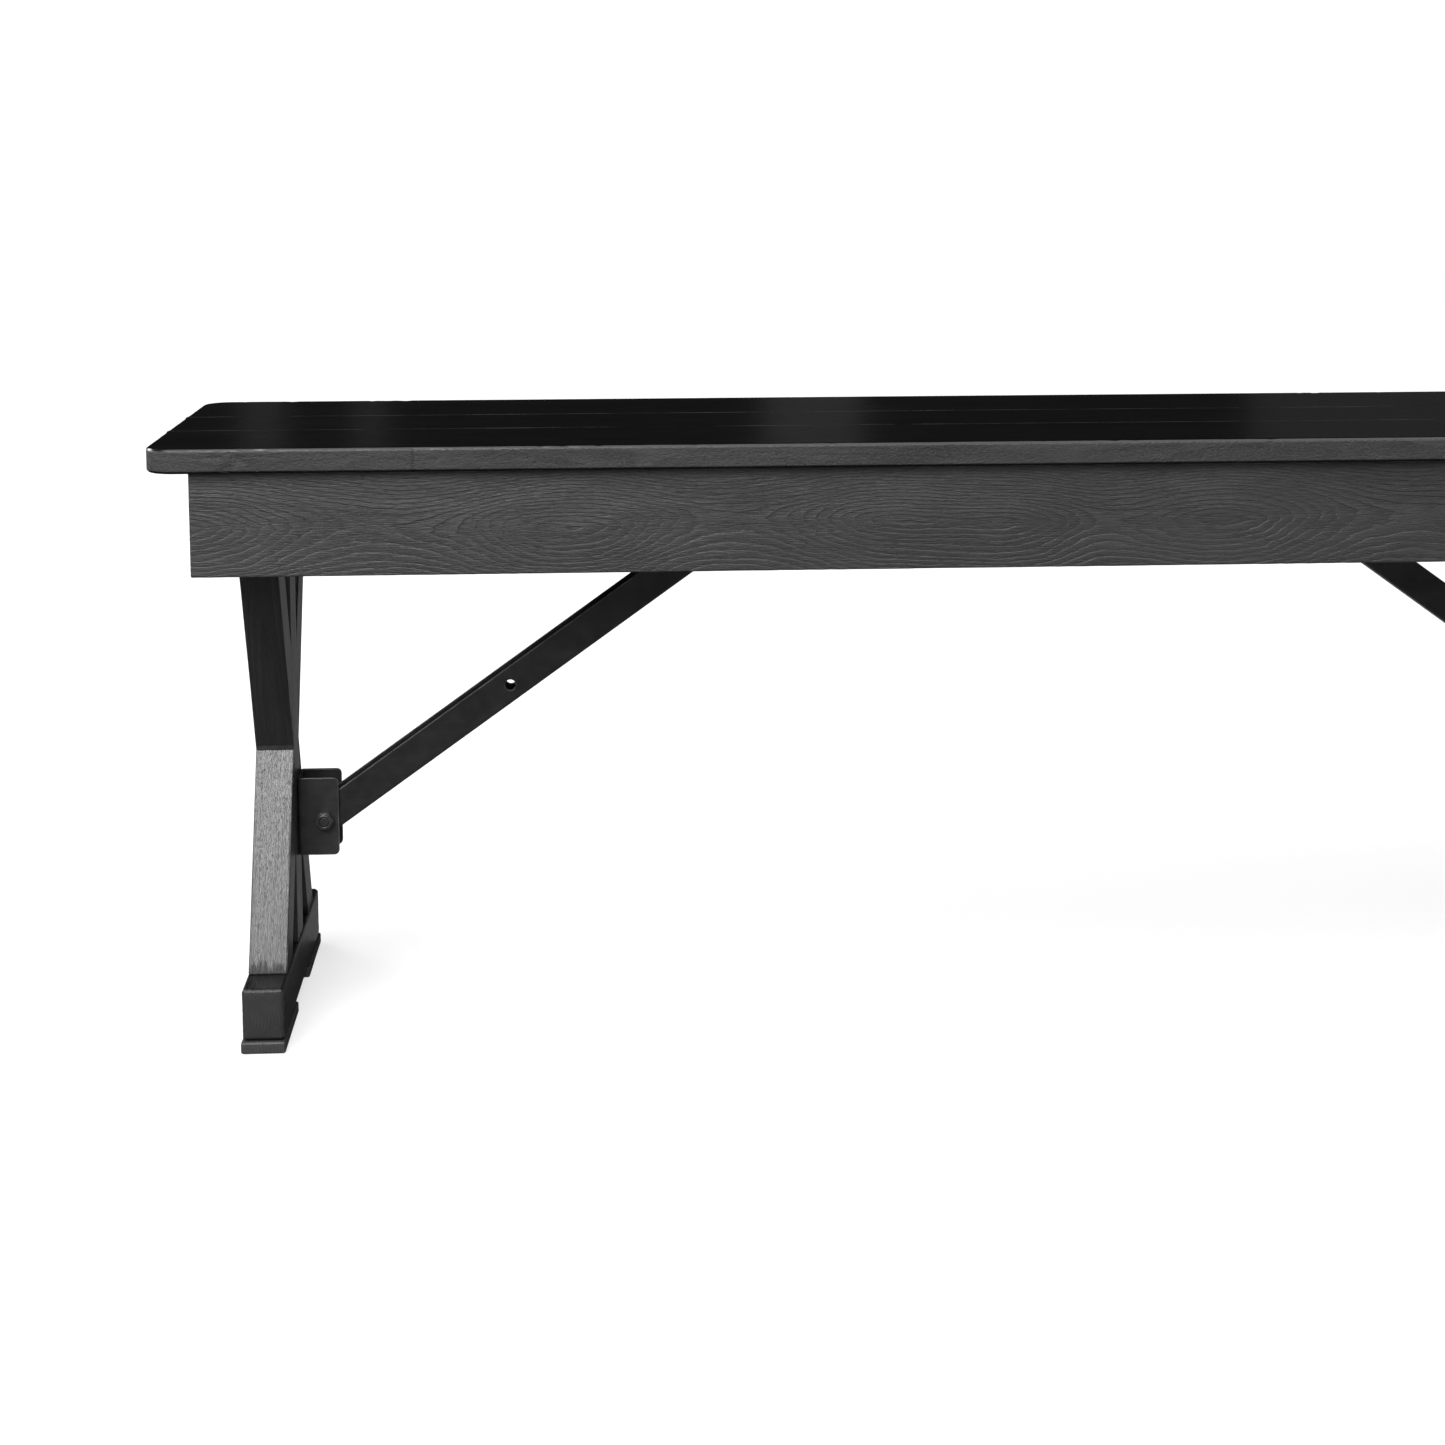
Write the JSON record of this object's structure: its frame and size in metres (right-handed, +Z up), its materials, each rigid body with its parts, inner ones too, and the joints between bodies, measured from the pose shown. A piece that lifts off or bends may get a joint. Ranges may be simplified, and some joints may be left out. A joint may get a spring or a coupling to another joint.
{
  "type": "folding bench",
  "caption": "Long narrow farmhouse bench in black painted pine, with X-shaped trestle legs that fold flat inside the apron and are locked open by steel channel braces and pins.",
  "frame": {"origin": "on the floor, under the middle of the top", "axes": "+X along the bench, -Y towards its front, +Z up"},
  "size_m": [2.438, 0.305, 0.457],
  "materials": {
    "top_wood": "black paint, glossy",
    "frame_wood": "black paint, satin, open grain",
    "leg_wood": "black paint, satin, open grain",
    "black_steel": "black powder coat, satin",
    "fasteners": "black oxide",
    "pin_steel": "zinc plated"
  },
  "bodies": {
    "top": {"plank_front": "top_wood", "plank_middle": "top_wood", "plank_rear": "top_wood", "apron_front": "frame_wood", "apron_rear": "frame_wood", "apron_left": "frame_wood", "apron_right": "frame_wood", "battens": "frame_wood", "corner_strips": "frame_wood", "corner_irons": "black_steel", "top_screws": "fasteners", "fitting_screws": "fasteners", "left_hangers": "black_steel", "left_catch": "black_steel", "middle_hangers": "black_steel", "middle_catch": "black_steel", "right_hangers": "black_steel", "right_catch": "black_steel"},
    "left_leg": {"left_rail": "leg_wood", "left_post": "leg_wood", "left_arm_upper_front": "leg_wood", "left_arm_upper_rear": "leg_wood", "left_arm_lower_front": "leg_wood", "left_arm_lower_rear": "leg_wood", "left_foot_beam": "leg_wood", "left_foot_pads": "leg_wood", "left_pivot_bolts": "fasteners", "left_bracket_screws": "fasteners", "left_brace_bolt": "fasteners", "left_brace_bracket": "black_steel"},
    "left_brace_body": {"left_brace": "black_steel"},
    "left_pin": {"left_lock_pin": "pin_steel"},
    "middle_leg": {"middle_rail": "leg_wood", "middle_post": "leg_wood", "middle_arm_upper_front": "leg_wood", "middle_arm_upper_rear": "leg_wood", "middle_arm_lower_front": "leg_wood", "middle_arm_lower_rear": "leg_wood", "middle_foot_beam": "leg_wood", "middle_foot_pads": "leg_wood", "middle_pivot_bolts": "fasteners", "middle_bracket_screws": "fasteners", "middle_brace_bolt": "fasteners", "middle_brace_bracket": "black_steel"},
    "middle_brace_body": {"middle_brace": "black_steel"},
    "middle_pin": {"middle_lock_pin": "pin_steel"},
    "right_leg": {"right_rail": "leg_wood", "right_post": "leg_wood", "right_arm_upper_front": "leg_wood", "right_arm_upper_rear": "leg_wood", "right_arm_lower_front": "leg_wood", "right_arm_lower_rear": "leg_wood", "right_foot_beam": "leg_wood", "right_foot_pads": "leg_wood", "right_pivot_bolts": "fasteners", "right_bracket_screws": "fasteners", "right_brace_bolt": "fasteners", "right_brace_bracket": "black_steel"},
    "right_brace_body": {"right_brace": "black_steel"},
    "right_pin": {"right_lock_pin": "pin_steel"}
  },
  "joints": [
    {"name": "left_fold", "type": "hinge", "parent": "top", "child": "left_leg", "pos_m": [-1.1475, 0, 0.385], "axis": [0, -1, 0], "range_deg": [0, 90]},
    {"name": "left_brace_swing", "type": "hinge", "parent": "left_leg", "child": "left_brace_body", "pos_m": [-1.112, 0.014, 0.1424], "axis": [0, -1, 0], "range_deg": [-126.15, 0]},
    {"name": "left_pin_pull", "type": "slide", "parent": "top", "child": "left_pin", "axis": [0, 1, 0], "range_m": [0, 0.035]},
    {"name": "middle_fold", "type": "hinge", "parent": "top", "child": "middle_leg", "pos_m": [0.04, 0, 0.385], "axis": [0, 1, 0], "range_deg": [0, 90]},
    {"name": "middle_brace_swing", "type": "hinge", "parent": "middle_leg", "child": "middle_brace_body", "pos_m": [0.0045, -0.014, 0.1424], "axis": [0, 1, 0], "range_deg": [-126.15, 0]},
    {"name": "middle_pin_pull", "type": "slide", "parent": "top", "child": "middle_pin", "axis": [0, -1, 0], "range_m": [0, 0.035]},
    {"name": "right_fold", "type": "hinge", "parent": "top", "child": "right_leg", "pos_m": [1.1475, 0, 0.385], "axis": [0, 1, 0], "range_deg": [0, 90]},
    {"name": "right_brace_swing", "type": "hinge", "parent": "right_leg", "child": "right_brace_body", "pos_m": [1.112, -0.014, 0.1424], "axis": [0, 1, 0], "range_deg": [-126.15, 0]},
    {"name": "right_pin_pull", "type": "slide", "parent": "top", "child": "right_pin", "axis": [0, -1, 0], "range_m": [0, 0.035]}
  ],
  "couplings": [
    {"joint": "left_brace_swing", "follows": "left_fold", "ratio": -1.3961},
    {"joint": "middle_brace_swing", "follows": "middle_fold", "ratio": -1.3961},
    {"joint": "right_brace_swing", "follows": "right_fold", "ratio": -1.3961}
  ]
}
